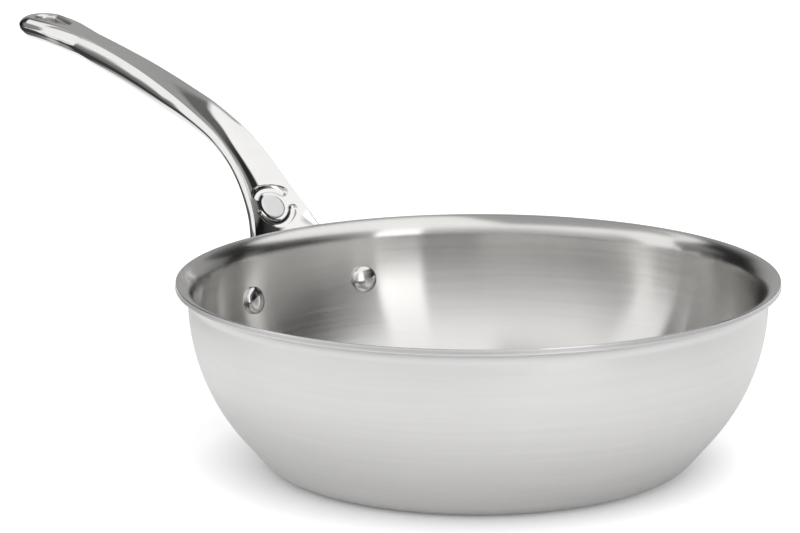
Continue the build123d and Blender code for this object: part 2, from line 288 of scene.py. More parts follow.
# Bowl
def wall_line(depth, detail):
    """The bowl's curve at a depth inside its outer surface, from the axis to the lip's cut edge."""
    corner = (BASE_FLAT_RADIUS, BASE_CORNER_RADIUS)
    curve = (WALL_TOP_RADIUS - WALL_CURVE_RADIUS, LIP_HEIGHT)
    lip = (WALL_TOP_RADIUS + LIP_CURVE_RADIUS, LIP_HEIGHT)
    points = [(r, depth) for r in BASE_RINGS]
    corner_steps, wall_steps, lip_steps = (
        int(steps * detail) for steps in (BASE_CORNER_STEPS, WALL_STEPS, LIP_STEPS)
    )
    points += arc(corner, BASE_CORNER_RADIUS - depth, -pi / 2, -pi / 2 + BASE_TURN, corner_steps)
    points += arc(curve, WALL_CURVE_RADIUS - depth, -CONE_ANGLE, 0, wall_steps)
    points += arc(lip, LIP_CURVE_RADIUS + depth, pi, pi - LIP_TURN, lip_steps)[1:]
    return points


def shortened(points, length):
    """A line with its end cut back by a length."""
    tip, before = points[-1], points[-2]
    while span(tip, before) < length:
        points = points[:-1]
        length -= span(tip, before)
        tip, before = points[-1], points[-2]
    return points[:-1] + [lerp(tip, before, length / span(tip, before))]


def ply_profile(outside, inside, round_outside, round_inside):
    """A ply's closed profile, with worn corners on the cut edge where a side is bare."""
    out_tip, in_tip = outside[-1], inside[-1]
    thickness = span(out_tip, in_tip)
    profile, back = outside, inside
    if round_outside:
        profile = shortened(outside, LIP_CORNER_RADIUS)
        edge = [lerp(out_tip, in_tip, LIP_CORNER_RADIUS / thickness)]
        profile = joined(profile, out_tip, edge, WORN_CORNER_STEPS)
    if round_inside:
        back = shortened(inside, LIP_CORNER_RADIUS)
        edge = [lerp(in_tip, out_tip, LIP_CORNER_RADIUS / thickness)]
        back = joined(back, in_tip, edge, WORN_CORNER_STEPS)
    return profile + back[::-1]


def make_bowl():
    """The five plies, each a closed sheet face to face with the next."""
    pieces = {}
    depth = 0
    for name, thickness in PLIES:
        outermost, innermost = name == "induction_ply", name == "cooking_ply"
        detail = 1.0 if outermost or innermost else HIDDEN_DETAIL
        outside = wall_line(depth, detail)
        inside = wall_line(depth + thickness, detail)
        profile = ply_profile(outside, inside, outermost, innermost)
        piece = lathe(name + "_sheet", profile, int(LATHE_SEGMENTS * detail))
        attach(piece, "root")
        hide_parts(name)
        pieces[name] = piece
        depth += thickness
    return pieces


def wall_lean(height):
    """The outer wall's angle from the vertical at a height, on its curve."""
    return asin((LIP_HEIGHT - height) / WALL_CURVE_RADIUS)


def wall_radius(height):
    """The outer wall's radius at a height, upright above the wall's curve."""
    if height >= LIP_HEIGHT:
        return WALL_TOP_RADIUS
    if height <= LOWER_WALL_HEIGHT:
        return CONE_TOP_RADIUS - (LOWER_WALL_HEIGHT - height) * tan(CONE_ANGLE)
    return WALL_TOP_RADIUS - WALL_CURVE_RADIUS * (1 - cos(wall_lean(height)))


def seat_on_wall(vertex):
    """A point inside the bowl's outer surface is moved straight out to it."""
    radius = wall_radius(vertex.z)
    if vertex.z > LIP_HEIGHT:
        rise = min(vertex.z - LIP_HEIGHT, LIP_CURVE_RADIUS * sin(LIP_TURN))
        radius = WALL_TOP_RADIUS + LIP_CURVE_RADIUS - sqrt(LIP_CURVE_RADIUS**2 - rise**2)
    out = hypot(vertex.x, vertex.y)
    if vertex.z > PAN_HEIGHT or out >= radius:
        return vertex
    return Vector((vertex.x * radius / out, vertex.y * radius / out, vertex.z))


# Handle
END_HALF_WIDTH = EYE_END_WIDTH / 2
END_CENTRE_REACH = HANDLE_TIP_REACH - END_HALF_WIDTH
CREST, HOLLOW = 0, 3  # where a section's sizes hold the crest's half width and the face's hollow


def wall_wrap(half_width):
    """How far the round wall falls back at a half width."""
    return WALL_TOP_RADIUS - sqrt(WALL_TOP_RADIUS**2 - half_width**2)


def stations():
    """Each station's spot (reach, height) and its sizes, as on the drawing."""
    flange_half_width = RIVET_SPACING / 2 + EAR_RADIUS
    for height_share, width_share, depth_share in FLANGE_SHARES:
        height = RIVET_HEIGHT + height_share * EAR_RADIUS
        half = width_share * flange_half_width
        depths = (FLANGE_EDGE_THICKNESS + SEAT_OVERLAP, depth_share * FLANGE_THICKNESS + SEAT_OVERLAP)
        yield (wall_radius(height) - SEAT_OVERLAP, height), (half, half, half, wall_wrap(half), *depths)
    reach = HANDLE_TIP_REACH - WALL_TOP_RADIUS
    rise = HANDLE_TOP_HEIGHT - RIVET_HEIGHT
    stretches = (
        (NECK_SHARES, NECK_WIDTH / 2, NECK_THICKNESS, reach),
        (GRIP_SHARES, GRIP_WIDTH / 2, GRIP_THICKNESS, reach),
        (END_SHARES, END_HALF_WIDTH, EYE_END_THICKNESS, END_CENTRE_REACH - WALL_TOP_RADIUS),
    )
    for shares, half_width, thickness, stretch_reach in stretches:
        for row in shares:
            spot = (WALL_TOP_RADIUS + row[0] * stretch_reach, RIVET_HEIGHT + row[1] * rise)
            widths = [share * half_width for share in row[2:5]]
            yield spot, (*widths, row[7] * NECK_HOLLOW, row[5] * thickness, row[6] * thickness)


def stretch_at(places, place):
    """The stretch between given places that a place lies in."""
    return max(n for n in range(len(places) - 1) if n == 0 or places[n] <= place)


class Eased:
    """A curve through given values that never runs beyond its neighbours."""

    def __init__(self, places, values):
        rises = [(b - a) / (q - p) for a, b, p, q in zip(values, values[1:], places, places[1:])]
        inner = [0 if a * b <= 0 else 2 * a * b / (a + b) for a, b in zip(rises, rises[1:])]
        self.places, self.values = places, values
        self.slopes = [rises[0], *inner, rises[-1]]

    def __call__(self, place):
        i = stretch_at(self.places, place)
        width = self.places[i + 1] - self.places[i]
        t = (place - self.places[i]) / width
        start = self.values[i] * (1 + 2 * t) + self.slopes[i] * width * t
        end = self.values[i + 1] * (3 - 2 * t) - self.slopes[i + 1] * width * (1 - t)
        return start * (1 - t) ** 2 + end * t**2


class Smooth:
    """A cubic spline through given values, straight at its ends."""

    def __init__(self, places, values):
        gaps = [b - a for a, b in zip(places, places[1:])]
        rises = [(b - a) / gap for a, b, gap in zip(values, values[1:], gaps)]
        carried, moments = [0.0], [0.0]
        for i in range(1, len(gaps)):
            pivot = 2 * (gaps[i - 1] + gaps[i]) - gaps[i - 1] * carried[i - 1]
            carried.append(gaps[i] / pivot)
            moments.append((6 * (rises[i] - rises[i - 1]) - gaps[i - 1] * moments[i - 1]) / pivot)
        bends = [0.0] * len(places)
        for i in range(len(gaps) - 1, 0, -1):
            bends[i] = moments[i] - carried[i] * bends[i + 1]
        self.places, self.values, self.bends = places, values, bends

    def __call__(self, place):
        i = stretch_at(self.places, place)
        width = self.places[i + 1] - self.places[i]
        b = (place - self.places[i]) / width
        a = 1 - b
        bend = (a**3 - a) * self.bends[i] + (b**3 - b) * self.bends[i + 1]
        return a * self.values[i] + b * self.values[i + 1] + bend * width**2 / 6


def placing_matrix(x_axis, y_axis, z_axis, origin):
    placing = Matrix((x_axis, y_axis, z_axis)).transposed().to_4x4()
    placing.translation = origin
    return placing


class Spine:
    """The middle line of the handle's upper face, with the section sizes along it."""

    def __init__(self):
        rows = list(stations())
        places = [0.0]
        for (start, _), (end, _) in zip(rows, rows[1:]):
            places.append(places[-1] + span(start, end))
        self.length = places[-1]
        self.reach = Smooth(places, [spot[0] for spot, sizes in rows])
        self.height = Smooth(places, [spot[1] for spot, sizes in rows])
        self.sizes = [Eased(places, column) for column in zip(*[sizes for spot, sizes in rows])]

    def placing(self, place):
        """The matrix of the section plane: X to the left, Y out of the upper face, Z along."""
        low, high = max(place - SLOPE_REACH, 0), min(place + SLOPE_REACH, self.length)
        along = Vector((self.reach(high) - self.reach(low), 0, self.height(high) - self.height(low)))
        along.normalize()
        left = Vector((0, 1, 0))
        return placing_matrix(left, along.cross(left), along, (self.reach(place), 0, self.height(place)))

    def face_placing(self, place):
        """The matrix of the upper face: X along the handle, Y to the left, Z out of the face."""
        section = self.placing(place).to_3x3()
        origin = (self.reach(place), 0, self.height(place))
        return placing_matrix(section.col[2], section.col[0], section.col[1], origin)

    def sizes_at(self, place):
        """The section's sizes, drawn in round the flange's lower end."""
        sizes = [size(place) for size in self.sizes]
        if place < FLANGE_END_ROUND:
            drawn = FLANGE_END_ROUND - sqrt(FLANGE_END_ROUND**2 - (FLANGE_END_ROUND - place) ** 2)
            sizes = [size if i == HOLLOW else size - drawn for i, size in enumerate(sizes)]
        softened = max(place / self.length - END_ROUND_SHARE, 0) / (1 - END_ROUND_SHARE)
        eased = softened**2 * (3 - 2 * softened)
        return [*sizes, CREST_ROUND + (END_CREST_ROUND - CREST_ROUND) * eased]

    def places(self):
        """Where the sections stand, closer together round the flange's lower end."""
        count = ceil((self.length - FLANGE_END_ROUND) / SECTION_GAP)
        turns = [pi / 2 * step / FLANGE_END_STEPS for step in range(FLANGE_END_STEPS)]
        rounding = [FLANGE_END_ROUND * (1 - cos(turn)) for turn in turns]
        return rounding + [
            FLANGE_END_ROUND + (self.length - FLANGE_END_ROUND) * step / count for step in range(count + 1)
        ]


def symmetric_arc(end, middle_height, steps):
    """Points of an arc from its middle, at X = 0, to its end."""
    sag = end[1] - middle_height
    if abs(sag) < LEAST_SAG:
        return [(end[0] * step / steps, middle_height) for step in range(steps + 1)]
    radius = (end[0] ** 2 + sag**2) / (2 * sag)
    turn = 2 * atan2(abs(sag), end[0])
    points = []
    for step in range(steps + 1):
        angle = turn * step / steps
        points.append((abs(radius) * sin(angle), middle_height + radius * (1 - cos(angle))))
    return points


def bowed(points, steps):
    """A smooth line through a few points."""
    places = [0.0]
    for a, b in zip(points, points[1:]):
        places.append(places[-1] + span(a, b))
    across = Smooth(places, [p[0] for p in points])
    up = Smooth(places, [p[1] for p in points])
    return [(across(places[-1] * s / steps), up(places[-1] * s / steps)) for s in range(steps + 1)]


def half_section(crest, side, belly, hollow, edge_depth, middle_depth, crest_round):
    """The left half of a section, from the middle of the face round to the middle of the belly."""
    crest_spot = (crest, hollow)
    belly_spot = (belly, hollow - edge_depth)
    side_spot = (side, hollow - SIDE_DEPTH_SHARE * edge_depth)
    face = symmetric_arc(crest_spot, 0, DRAWN_STEPS)
    flank = bowed([crest_spot, side_spot, belly_spot], DRAWN_FLANK_STEPS)
    under = symmetric_arc(belly_spot, -middle_depth, DRAWN_STEPS)[::-1]
    face = cut_back(face, 0, crest_round, FACE_STEPS)
    flank = cut_back(flank, crest_round, BELLY_ROUND, FLANK_STEPS)
    under = cut_back(under, BELLY_ROUND, 0, BELLY_STEPS)
    return joined(joined(face, crest_spot, flank, CREST_STEPS), belly_spot, under, BELLY_CORNER_STEPS)


def make_casting(spine):
    """The handle before its cuts, seated on the bowl's wall."""
    vertices = []
    for place in spine.places():
        half = half_section(*spine.sizes_at(place))
        ring = half + [(-x, y) for x, y in reversed(half[1:-1])]
        placing = spine.placing(place)
        vertices += [placing @ Vector((x, y, 0)) for x, y in ring]
    size = len(ring)
    faces = [tuple(range(size))]
    for here in range(0, len(vertices) - size, size):
        there = here + size
        for j in range(size):
            k = (j + 1) % size
            faces.append((here + j, there + j, there + k, here + k))

    # The round nose turns the left half of the last section through the half circle beyond it
    start = len(vertices)
    columns = len(half)
    for step in range(NOSE_STEPS + 1):
        turn = pi * step / NOSE_STEPS
        vertices += [placing @ Vector((x * cos(turn), y, x * sin(turn))) for x, y in half]
    for step in range(NOSE_STEPS):
        here, there = start + step * columns, start + (step + 1) * columns
        for j in range(columns - 1):
            faces.append((here + j, there + j, there + j + 1, here + j + 1))
    return new_piece("handle_casting", [seat_on_wall(v) for v in vertices], faces)


def skin(rings):
    """Vertices and faces of a closed form through rings of as many points each."""
    size = len(rings[0])
    faces = []
    for i in range(len(rings) - 1):
        here, there = i * size, (i + 1) * size
        for j in range(size):
            k = (j + 1) % size
            faces.append((here + j, here + k, there + k, there + j))
    faces.append(tuple(reversed(range(size))))
    faces.append(tuple(range((len(rings) - 1) * size, len(rings) * size)))
    return [point for ring in rings for point in ring], faces


def eye_ring(height, growth, steps=28):
    """The eye's outline: a wide and a narrow end joined by straight sides."""
    front, back = EYE_FRONT_RADIUS + growth, EYE_BACK_RADIUS + growth
    front_at = EYE_LENGTH / 2 - EYE_FRONT_RADIUS
    back_at = EYE_BACK_RADIUS - EYE_LENGTH / 2
    lean = asin((front - back) / (front_at - back_at))
    points = arc((front_at, 0), front, -pi / 2 - lean, pi / 2 + lean, steps)
    points += arc((back_at, 0), back, pi / 2 + lean, 3 * pi / 2 - lean, steps)
    return [Vector((x, y, height)) for x, y in points]


def eye_cutter(placing):
    """The hanging eye, with round mouths."""
    rings = [eye_ring(CUT_OVERRUN, EYE_FLARE)]
    steps = 12
    for step in range(steps + 1):
        turn = pi / 2 * step / steps
        rings.append(eye_ring(-EYE_FLARE * (1 - cos(turn)), EYE_FLARE * (1 - sin(turn))))
    for step in range(steps + 1):
        turn = pi / 2 * step / steps
        height = -EYE_END_THICKNESS + EYE_FLARE * (1 - sin(turn))
        rings.append(eye_ring(height, EYE_FLARE * (1 - cos(turn))))
    rings.append(eye_ring(-EYE_END_THICKNESS - CUT_OVERRUN, EYE_FLARE))
    return skin([[placing @ point for point in ring] for ring in reversed(rings)])


def disc_cutter(placing, radius, low, high, steps=96):
    """A round flat-bottomed cut."""
    ring = arc((0, 0), radius, 0, 2 * pi * (steps - 1) / steps, steps - 1)
    return skin([[placing @ Vector((x, y, z)) for x, y in ring] for z in (low, high)])


def groove_cutter(placing, face_radius, middle, sweep, steps=48, round_steps=14, sides=64):
    """A bent round cut with round ends, which follows the hollow face beside the badge."""
    stages = [(0.0, -pi / 2 + pi / 2 * step / round_steps) for step in range(1, round_steps)]
    stages += [(step / steps, 0.0) for step in range(steps + 1)]
    stages += [(1.0, pi / 2 * step / round_steps) for step in range(1, round_steps)]
    rings = []
    for share, end_turn in stages:
        angle = middle + sweep * (share - 0.5)
        outward = Vector((cos(angle), sin(angle), 0))
        along = Vector((-sin(angle), cos(angle), 0))
        across = GROOVE_RING_RADIUS * sin(angle)
        rise = face_radius - sqrt(face_radius**2 - across**2)
        centre = outward * GROOVE_RING_RADIUS
        centre.z = rise + GROOVE_TUBE_RADIUS - GROOVE_DEPTH
        centre += along * GROOVE_TUBE_RADIUS * sin(end_turn)
        radius = GROOVE_TUBE_RADIUS * cos(end_turn)
        ring = []
        for side in range(sides):
            turn = 2 * pi * side / sides
            ring.append(placing @ (centre + radius * (outward * cos(turn) + Vector((0, 0, sin(turn))))))
        rings.append(ring)
    return skin([list(reversed(ring)) for ring in rings])


def rivet_placing(side):
    """The matrix on the outer wall at a rivet, with Z outward."""
    lean = wall_lean(RIVET_HEIGHT)
    turn = Matrix.Rotation(side * asin(RIVET_SPACING / 2 / wall_radius(RIVET_HEIGHT)), 3, "Z")
    outward = turn @ Vector((cos(lean), 0, -sin(lean)))
    across = turn @ Vector((0, 1, 0))
    origin = turn @ Vector((wall_radius(RIVET_HEIGHT), 0, RIVET_HEIGHT))
    return placing_matrix(outward.cross(across) * -1, across, outward, origin)


def cut_piece(piece, cutters):
    """Cuts closed forms out of a piece."""
    vertices, faces = [], []
    for cutter_vertices, cutter_faces in cutters:
        start = len(vertices)
        vertices += cutter_vertices
        faces += [tuple(start + i for i in face) for face in cutter_faces]
    cutter = new_piece("cutter", vertices, faces)
    cut = piece.modifiers.new("cut", "BOOLEAN")
    cut.operation = "DIFFERENCE"
    cut.solver = "EXACT"
    cut.object = cutter
    view = bpy.context.evaluated_depsgraph_get()
    mesh = bpy.data.meshes.new_from_object(piece.evaluated_get(view))
    piece.modifiers.clear()
    piece.data = mesh
    bpy.data.objects.remove(cutter)
    tidy_mesh(piece, SMOOTH_ANGLE)


def make_handle(spine):
    """The casting with its eye, the badge's seat and grooves, and the rivets' seats cut."""
    casting = make_casting(spine)
    eye = spine.face_placing(spine.length - (EYE_BACK_REACH - END_HALF_WIDTH))
    badge_place = spine.length * BADGE_SPINE_SHARE
    badge = spine.face_placing(badge_place)
    seat_radius, seat_floor = BADGE_RADIUS + SEAT_CLEARANCE, BADGE_PROUD - BADGE_THICKNESS
    cutters = [eye_cutter(eye), disc_cutter(badge, seat_radius, seat_floor, CUT_OVERRUN)]
    sizes = spine.sizes_at(badge_place)
    face_radius = (sizes[CREST] ** 2 + sizes[HOLLOW] ** 2) / (2 * sizes[HOLLOW])
    cutters += [groove_cutter(badge, face_radius, middle, sweep) for middle, sweep in GROOVES]
    for side in (1, -1):
        radius = RIVET_TAIL_RADIUS + SEAT_CLEARANCE
        cutters.append(disc_cutter(rivet_placing(side), radius, RIVET_SEAT_HEIGHT, CUT_OVERRUN))
    cut_piece(casting, cutters)
    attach(casting, "root")
    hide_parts("handle")
    return casting


def make_rivet(name, side):
    """A domed head inside the bowl, a shank and a formed head on the flange."""
    inner_face = -WALL_THICKNESS
    sunk_face = inner_face / 2  # inside the wall, which curves away under the head's rim
    dome = dome_points(RIVET_HEAD_RADIUS, RIVET_HEAD_RISE - RIVET_HEAD_EDGE, RIVET_HEAD_STEPS)
    tail = dome_points(RIVET_TAIL_RADIUS, RIVET_TAIL_RISE - RIVET_TAIL_EDGE, RIVET_TAIL_STEPS)
    profile = [(r, inner_face - RIVET_HEAD_EDGE - rise) for r, rise in dome]
    profile += [
        (RIVET_HEAD_RADIUS, sunk_face),
        (RIVET_SHANK_RADIUS, sunk_face),
        (RIVET_SHANK_RADIUS, RIVET_SEAT_HEIGHT),
        (RIVET_TAIL_RADIUS, RIVET_SEAT_HEIGHT),
    ]
    profile += [(r, RIVET_SEAT_HEIGHT + RIVET_TAIL_EDGE + rise) for r, rise in reversed(tail)]
    piece = lathe(name + "_turned", profile, RIVET_SEGMENTS, rivet_placing(side))
    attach(piece, "root")
    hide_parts(name)
    return piece


def dome_points(radius, rise, steps):
    """Radius and rise on a flat dome with a soft rim, from its middle to its edge."""
    points = []
    for step in range(steps + 1):
        angle = pi / 2 * step / steps
        points.append((radius * sin(angle), rise * cos(angle) ** DOME_SOFTNESS))
    return points


def make_badge(spine):
    """A bare round inlay with a rounded edge."""
    top, low = BADGE_PROUD, BADGE_PROUD - BADGE_THICKNESS
    profile = [(0, low), (BADGE_RADIUS, low)]
    edge_centre = (BADGE_RADIUS - BADGE_EDGE_ROUND, top - BADGE_EDGE_ROUND)
    profile += arc(edge_centre, BADGE_EDGE_ROUND, 0, pi / 2, BADGE_EDGE_STEPS)
    profile += [(BADGE_RADIUS * share, top) for share in BADGE_RING_SHARES]
    placing = spine.face_placing(spine.length * BADGE_SPINE_SHARE)
    piece = lathe("badge_disc", profile, RIVET_SEGMENTS, placing)
    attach(piece, "root")
    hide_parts("badge")
    return piece


# Materials: scales are per metre and depths in metres
NOISE_RANGE = (0.3, 0.7)  # where most of a noise's values lie
LEAST_RADIUS = 0.001  # keeps the directions round the axis steady near it
LINE_SCALES = (2600.0, 3.0)  # of the brushing lines, along the profile and round the axis
BAND_SCALES = (420.0, 1.4)  # of the wider bands among them
BRUSHED_SMUDGE_SCALE = 28.0
DARK_SHARE = 0.93  # of the tint, in the darkest bands
PALE_SHARE = 1.05
QUARTER_TURN = 0.25  # sets the anisotropy across the lines
CAST_TINTS = ((0.71, 0.70, 0.69), (0.78, 0.775, 0.765))
CAST_ROUGHNESS = (0.035, 0.07)
CAST_SMUDGE_SCALE = 90.0
RIPPLE_SCALE = 55.0
RIPPLE_DEPTH = 0.00006
HAIRLINE_SCALES = (60.0, 900.0, 900.0)
HAIRLINE_DEPTH = 0.000004
SOFT_BUMP = 0.5  # the strength of the ripples and hairlines
EYE_ROUGHNESS = 0.30
EYE_SIDE_FADE = (0.0056, 0.0066)  # from the handle's middle, where the eye's wall turns to the crest
EYE_BACK_FADE = (0.2815, 0.2825)  # from the pan's axis
EYE_FRONT_FADE = (0.3060, 0.3070)
FINE_GRAIN_SHARE = 14  # how much finer a plain metal's grain is than its clouds


class NodeTree:
    """Shorthand for building nodes."""

    def __init__(self, tree):
        self.tree = tree

    def node(self, kind, **settings):
        made = self.tree.nodes.new(kind)
        for setting, value in settings.items():
            setattr(made, setting, value)
        return made

    def link(self, source, target):
        self.tree.links.new(source, target)

    def feed(self, socket, value):
        if isinstance(value, bpy.types.NodeSocket):
            self.link(value, socket)
        elif value is not None:
            socket.default_value = value

    def math(self, operation, a, b=None, c=None):
        made = self.node("ShaderNodeMath", operation=operation)
        for socket, value in zip(made.inputs, (a, b, c)):
            self.feed(socket, value)
        return made.outputs[0]

    def blend(self, factor, a, b, colour=False):
        """A mix of two values or colours."""
        made = self.node("ShaderNodeMix", data_type="RGBA" if colour else "FLOAT")
        first = 6 if colour else 2
        self.feed(made.inputs[0], factor)
        self.feed(made.inputs[first], a)
        self.feed(made.inputs[first + 1], b)
        return made.outputs[2 if colour else 0]

    def ramp(self, value, low, high, to_low=0.0, to_high=1.0):
        """A value taken from one range to another, kept within it."""
        made = self.node("ShaderNodeMapRange", clamp=True)
        for socket, given in zip(made.inputs, (value, low, high, to_low, to_high)):
            self.feed(socket, given)
        return made.outputs[0]

    def distance(self, x, y):
        """How far a place is from the Z axis."""
        return self.math("SQRT", self.math("ADD", self.math("MULTIPLY", x, x), self.math("MULTIPLY", y, y)))

    def levels(self, azimuth, table):
        """A value by azimuth, between those of a table."""
        share = self.math("MULTIPLY_ADD", azimuth, 1 / (2 * pi), 0.5)
        made = self.node("ShaderNodeValToRGB")
        self.link(share, made.inputs[0])
        stops = made.color_ramp.elements
        for stop in list(stops)[1:]:
            stops.remove(stop)
        for i, (degree, level) in enumerate((*table, (180, table[0][1]))):
            stop = stops[0] if i == 0 else stops.new((degree + 180) / 360)
            stop.position = (degree + 180) / 360
            stop.color = (*[level / LEVEL_LIMIT] * 3, 1)
        return self.math("MULTIPLY", made.outputs[0], LEVEL_LIMIT)


class Finish(NodeTree):
    """A metal finish, built on one shader."""

    def __init__(self, name):
        self.material = bpy.data.materials.new(name)
        self.material.use_nodes = True
        super().__init__(self.material.node_tree)
        self.shader = self.tree.nodes["Principled BSDF"]
        self.shader.inputs["Metallic"].default_value = 1.0

    def place(self):
        """The surface's place in metres, in the part's frame."""
        return self.node("ShaderNodeTexCoord").outputs["Object"]

    def noise(self, vector, scale, detail, roughness):
        made = self.node("ShaderNodeTexNoise")
        self.feed(made.inputs["Vector"], vector)
        made.inputs["Scale"].default_value = scale
        made.inputs["Detail"].default_value = detail
        made.inputs["Roughness"].default_value = roughness
        return made.outputs["Fac"]

    def turned_place(self, across_scale, around_scale):
        """Coordinates that run slowly round the Z axis and fast along the profile."""
        parts = self.node("ShaderNodeSeparateXYZ")
        self.link(self.place(), parts.inputs[0])
        x, y, z = parts.outputs
        radius = self.distance(x, y)
        turned = self.node("ShaderNodeCombineXYZ")
        self.feed(turned.inputs[0], self.math("MULTIPLY", self.math("ADD", radius, z), across_scale))
        safe_radius = self.math("MAXIMUM", radius, LEAST_RADIUS)
        for socket, side in ((turned.inputs[1], x), (turned.inputs[2], y)):
            self.feed(socket, self.math("MULTIPLY", self.math("DIVIDE", side, safe_radius), around_scale))
        return turned.outputs[0]

    def bump(self, height, distance, strength=1.0, normal=None):
        made = self.node("ShaderNodeBump")
        made.inputs["Strength"].default_value = strength
        made.inputs["Distance"].default_value = distance
        self.link(height, made.inputs["Height"])
        if normal is not None:
            self.link(normal, made.inputs["Normal"])
        return made.outputs["Normal"]

    def set(self, **values):
        for name, value in values.items():
            self.feed(self.shader.inputs[name.replace("_", " ")], value)


def shade(tint, share=1.0):
    """A tint as a full colour, darker or paler by a share."""
    return (*[channel * share for channel in tint], 1)


def brushed_steel(name, tint, roughness, spread, line_depth, anisotropy):
    """Steel finished in fine lines round the pan's axis."""
    steel = Finish(name)
    lines = steel.noise(steel.turned_place(*LINE_SCALES), 1.0, detail=4.0, roughness=0.7)
    bands = steel.noise(steel.turned_place(*BAND_SCALES), 1.0, detail=3.0, roughness=0.6)
    smudges = steel.noise(steel.place(), BRUSHED_SMUDGE_SCALE, detail=3.0, roughness=0.55)
    worn = steel.blend(0.5, bands, smudges)
    steel.set(
        Base_Color=steel.blend(bands, shade(tint, DARK_SHARE), shade(tint, PALE_SHARE), True),
        Roughness=steel.ramp(worn, *NOISE_RANGE, roughness - spread, roughness + spread),
        Anisotropic=anisotropy,
        Anisotropic_Rotation=QUARTER_TURN,
        Normal=steel.bump(lines, line_depth),
        Tangent=steel.node("ShaderNodeTangent", direction_type="RADIAL", axis="Z").outputs[0],
    )
    return steel.material


def polished_casting():
    """Hand-polished cast steel, almost a mirror, with faint ripples and hairlines, and a duller eye."""
    steel = Finish("polished_casting")
    place = steel.place()
    ripples = steel.noise(place, RIPPLE_SCALE, detail=2.0, roughness=0.4)
    stretched = steel.node("ShaderNodeMapping")
    stretched.inputs["Scale"].default_value = HAIRLINE_SCALES
    steel.link(place, stretched.inputs["Vector"])
    hairlines = steel.noise(stretched.outputs[0], 1.0, detail=3.0, roughness=0.65)
    smudges = steel.noise(place, CAST_SMUDGE_SCALE, detail=3.0, roughness=0.6)
    rippled = steel.bump(ripples, RIPPLE_DEPTH, SOFT_BUMP)
    parts = steel.node("ShaderNodeSeparateXYZ")
    steel.link(place, parts.inputs[0])
    reach, side = parts.outputs["X"], parts.outputs["Y"]
    in_eye = steel.ramp(steel.math("ABSOLUTE", side), *EYE_SIDE_FADE, 1.0, 0.0)
    in_eye = steel.math("MULTIPLY", in_eye, steel.ramp(reach, *EYE_BACK_FADE))
    in_eye = steel.math("MULTIPLY", in_eye, steel.ramp(reach, *EYE_FRONT_FADE, 1.0, 0.0))
    polish = steel.ramp(smudges, *NOISE_RANGE, *CAST_ROUGHNESS)
    dark, pale = CAST_TINTS
    steel.set(
        Base_Color=steel.blend(smudges, shade(dark), shade(pale), True),
        Roughness=steel.blend(in_eye, polish, EYE_ROUGHNESS),
        Normal=steel.bump(hairlines, HAIRLINE_DEPTH, SOFT_BUMP, rippled),
    )
    return steel.material


def plain_metal(name, tints, roughness, scale, grain_depth):
    """A metal with a fine even grain, between two tints and two values of roughness."""
    metal = Finish(name)
    place = metal.place()
    clouds = metal.noise(place, scale, detail=3.0, roughness=0.6)
    grain = metal.noise(place, scale * FINE_GRAIN_SHARE, detail=2.0, roughness=0.7)
    dark, pale = tints
    metal.set(
        Base_Color=metal.blend(clouds, shade(dark), shade(pale), True),
        Roughness=metal.ramp(clouds, *NOISE_RANGE, *roughness),
        Normal=metal.bump(grain, grain_depth),
    )
    return metal.material


def finish_piece(piece, material):
    """Gives a piece its only material, in a single slot."""
    piece.data.materials.clear()
    piece.data.materials.append(material)


# Camera
PHOTO_FOCAL_LENGTH = 157.5  # in millimetres, on a sensor of the width below
SENSOR_WIDTH = 36.0
CAMERA_PITCH = 0.2230
CAMERA_ROLL = -0.0055
PHOTO_TURN = radians(130.33)  # from the part's +X to the photograph's right, about Z
PAN_FROM_CAMERA = Vector((31.78, 78.01, 1429.63))  # right, down and forward, in millimetres


def aim_camera():
    """Stands the camera where the photograph was taken from."""
    sine, cosine = sin(CAMERA_PITCH), cos(CAMERA_PITCH)
    rolled = Matrix.Rotation(CAMERA_ROLL, 3, "Z")
    axes = [rolled @ Vector(axis) for axis in ((1, 0, 0), (0, -sine, cosine), (0, -cosine, -sine))]
    to_camera = Matrix(axes).transposed() @ Matrix.Rotation(PHOTO_TURN, 3, "Z")
    facing = Matrix.Diagonal((1, -1, -1)) @ to_camera
    data = bpy.data.cameras.new("camera")
    data.lens = PHOTO_FOCAL_LENGTH
    data.sensor_width = SENSOR_WIDTH
    data.sensor_fit = "HORIZONTAL"
    camera = bpy.data.objects.new("camera", data)
    bpy.context.scene.collection.objects.link(camera)
    place = to_camera.transposed() @ -PAN_FROM_CAMERA * MM
    camera.matrix_world = Matrix.Translation(place) @ facing.transposed().to_4x4()
    bpy.context.scene.camera = camera


# Studio light, by azimuth in degrees from the photograph's right, turning away from the camera. The walls
# stand near the horizon, with the upper walls, the ceiling and the panels overhead above them.
WALL_LEVELS = (
    (-180, 0.50),
    (-165, 0.72),
    (-156, 0.56),
    (-132, 0.62),
    (-90, 0.56),
    (-72, 0.62),
    (-68, 0.68),
    (-67, 1.90),
    (-48, 1.90),
    (-47, 0.50),
    (-42, 0.38),
    (-30, 0.20),
    (-16, 0.01),
    (6, 0.01),
    (14, 0.14),
    (20, 0.14),
    (24, 0.01),
    (33, 0.01),
    (38, 0.20),
    (56, 0.36),
    (92, 0.42),
    (104, 0.36),
    (114, 0.22),
    (120, 0.05),
    (128, 0.01),
    (150, 0.02),
    (158, 0.12),
    (175, 0.20),
    (176, 1.20),
    (178, 1.20),
    (179, 0.48),
)
UPPER_WALL_LEVELS = (
    (-180, 0.60),
    (-165, 0.78),
    (-140, 0.92),
    (-90, 0.80),
    (-68, 0.86),
    (-67, 1.42),
    (-47, 1.42),
    (-46, 0.70),
    (-36, 0.42),
    (-24, 0.26),
    (-10, 0.10),
    (6, 0.08),
    (24, 0.03),
    (50, 0.03),
    (58, 0.08),
    (66, 0.14),
    (82, 0.17),
    (84, 0.40),
    (96, 0.42),
    (104, 0.18),
    (116, 0.03),
    (136, 0.03),
    (144, 0.16),
    (152, 0.28),
    (172, 0.30),
)
